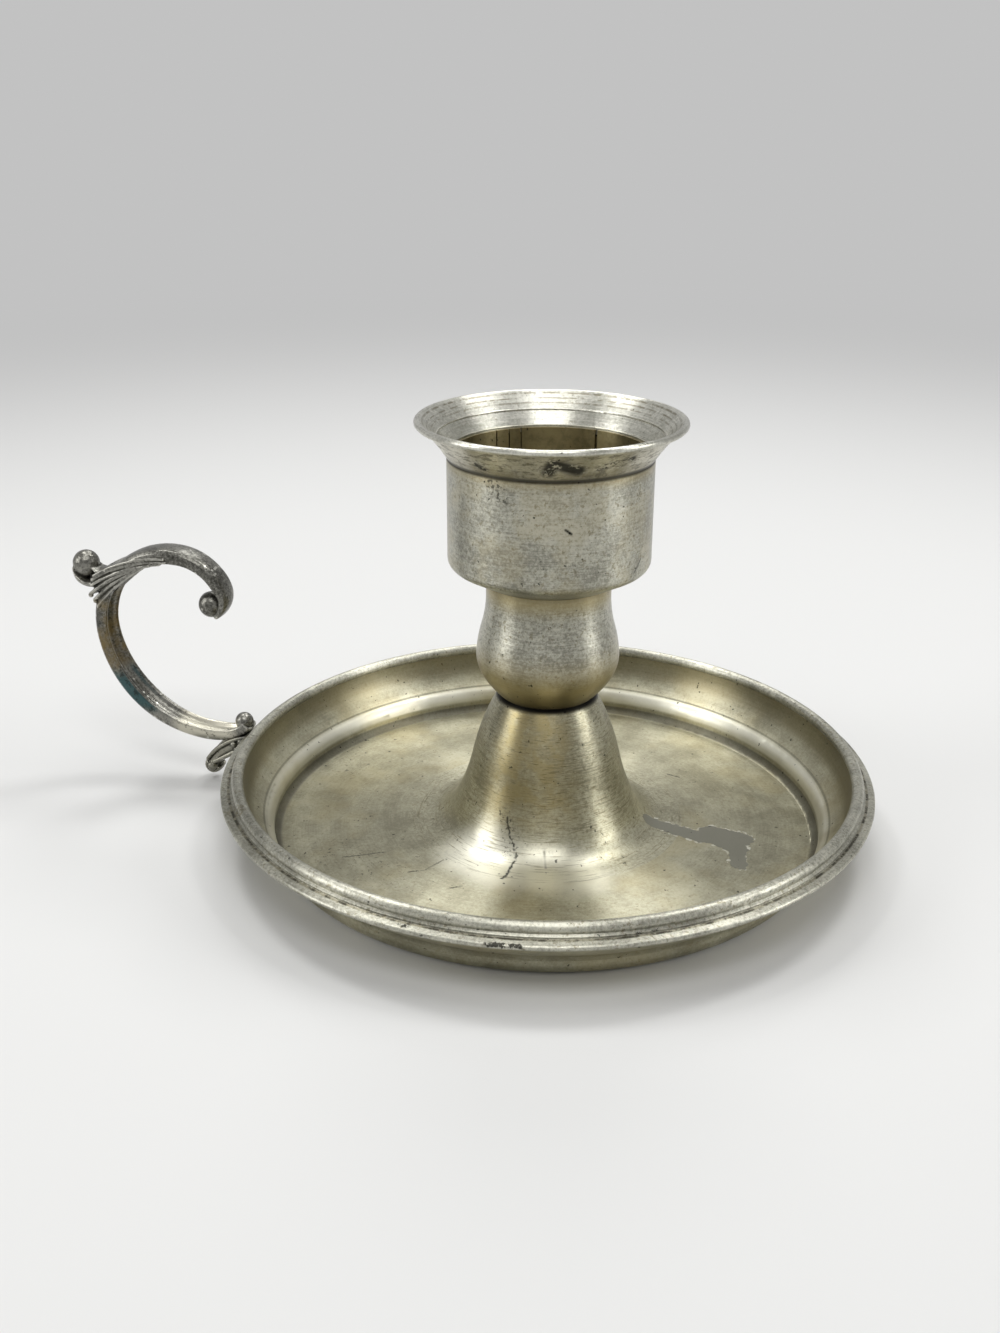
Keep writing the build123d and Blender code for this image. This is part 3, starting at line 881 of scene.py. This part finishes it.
SKY_LIGHT = 0.21  # light from all round
BACKDROP = 0.60  # brightness of the background, where 1 is white
STUDIO_GREY = (0.9, 0.9, 0.9, 1.0)
FLOOR_COLOUR = (0.75, 0.75, 0.74, 1.0)
FLOOR_SIZE = 8.0
FLOOR_DROP = 0.0001  # keeps the floor just under the pan
HAZE = (0.2, 0.8)  # from the axis: where the floor starts to fade, and where it is background
AIM_HEIGHT = 0.05


def seen_background(m):
    """1 for the rays that show the background: to the camera, in metal and through glass."""
    camera, glossy, through = (m.node("ShaderNodeLightPath", {}, out=kind) for kind in (0, 3, 6))
    return camera.most(glossy).most(through)


def studio_floor():
    """A plain pale floor that fades into the background."""
    shape = bmesh.new()
    bmesh.ops.create_grid(shape, x_segments=1, y_segments=1, size=FLOOR_SIZE)
    bmesh.ops.translate(shape, vec=(0, 0, -FLOOR_DROP), verts=shape.verts)
    mesh = bpy.data.meshes.new("floor")
    shape.to_mesh(mesh)
    shape.free()
    piece = bpy.data.objects.new("floor", mesh)
    scene.collection.objects.link(piece)
    paint = bpy.data.materials.new("floor_paint")
    paint.use_nodes = True
    paint.node_tree.nodes.clear()
    m = Maker(paint.node_tree)
    matt = m.node("ShaderNodeBsdfDiffuse", {}, FLOOR_COLOUR)
    haze = m.node("ShaderNodeEmission", {}, STUDIO_GREY, BACKDROP)
    away = m.vector("LENGTH", m.node("ShaderNodeTexCoord", {}, out=3), out=1).over(*HAZE)
    mixed = m.node("ShaderNodeMixShader", {}, away * seen_background(m), matt, haze)
    m.node("ShaderNodeOutputMaterial", {}, mixed, out=None)
    mesh.materials.append(paint)
    return piece


def sky():
    """Even light from all round, with a background of its own brightness."""
    world = bpy.data.worlds.new("studio")
    scene.world = world
    world.use_nodes = True
    m = Maker(world.node_tree)
    colour, strength = world.node_tree.nodes["Background"].inputs[:2]
    m.join(STUDIO_GREY, colour)
    m.join(seen_background(m) * (BACKDROP - SKY_LIGHT) + SKY_LIGHT, strength)


def softbox(name, azimuth, elevation, distance, width, height, power):
    """An area lamp that looks at the candlestick; azimuth runs from the front, -Y, towards +X."""
    lamp = bpy.data.lights.new(name, "AREA")
    lamp.shape = "RECTANGLE"
    lamp.size = width
    lamp.size_y = height
    lamp.energy = power
    azimuth, elevation = radians(azimuth), radians(elevation)
    aim = Vector((sin(azimuth) * cos(elevation), -cos(azimuth) * cos(elevation), sin(elevation)))
    holder = bpy.data.objects.new(name, lamp)
    holder.location = aim * distance + Vector((0, 0, AIM_HEIGHT))
    holder.rotation_euler = aim.to_track_quat("Z", "Y").to_euler()
    scene.collection.objects.link(holder)


# Azimuth and elevation in degrees; distance, width and height in metres; power in watts
SOFTBOXES = {
    "left_softbox": (-62, 24, 0.8, 0.30, 0.45, 1.8),
    "right_softbox": (93, 24, 0.8, 0.30, 0.45, 1.8),
    "left_high_softbox": (-120, 60, 0.85, 0.16, 0.22, 1.5),
    "right_high_softbox": (146, 60, 0.85, 0.16, 0.22, 1.5),
    "back_softbox": (193, 46, 0.9, 0.28, 0.26, 1.35),
    "front_softbox": (13, 58, 0.9, 0.50, 0.28, 2.0),
    "overhead_softbox": (193, 86, 0.85, 0.40, 0.40, 1.2),
}

floor = studio_floor()
sky()
for name, values in SOFTBOXES.items():
    softbox(name, *values)


# Camera, as fitted to the photograph's circles

EYE_AWAY = 281.659  # distance from the axis
EYE_HEIGHT = 154.246
EYE_AZIMUTH = 13.0  # degrees, from the front, -Y, towards +X
LOOK_LEFT = 2.04546  # degrees, from looking straight at the axis
LOOK_DOWN = 22.66048  # degrees
ROLL = 0.13751  # degrees
LENS_LENGTH = 38.853766
SENSOR_WIDTH = 36.0

lens = bpy.data.cameras.new("camera")
lens.lens = LENS_LENGTH
lens.sensor_width = SENSOR_WIDTH
lens.sensor_fit = "AUTO"
lens.clip_start = 0.01
lens.clip_end = 50.0
eye = bpy.data.objects.new("camera", lens)
eye.matrix_world = (
    Matrix.Rotation(radians(EYE_AZIMUTH), 4, "Z")
    @ Matrix.Translation(Vector((0.0, -EYE_AWAY, EYE_HEIGHT)) * MM)
    @ Matrix.Rotation(radians(LOOK_LEFT), 4, "Z")
    @ Matrix.Rotation(radians(90.0 - LOOK_DOWN), 4, "X")
    @ Matrix.Rotation(radians(ROLL), 4, "Z")
)
scene.collection.objects.link(eye)
scene.camera = eye
scene.view_settings.view_transform = "Standard"
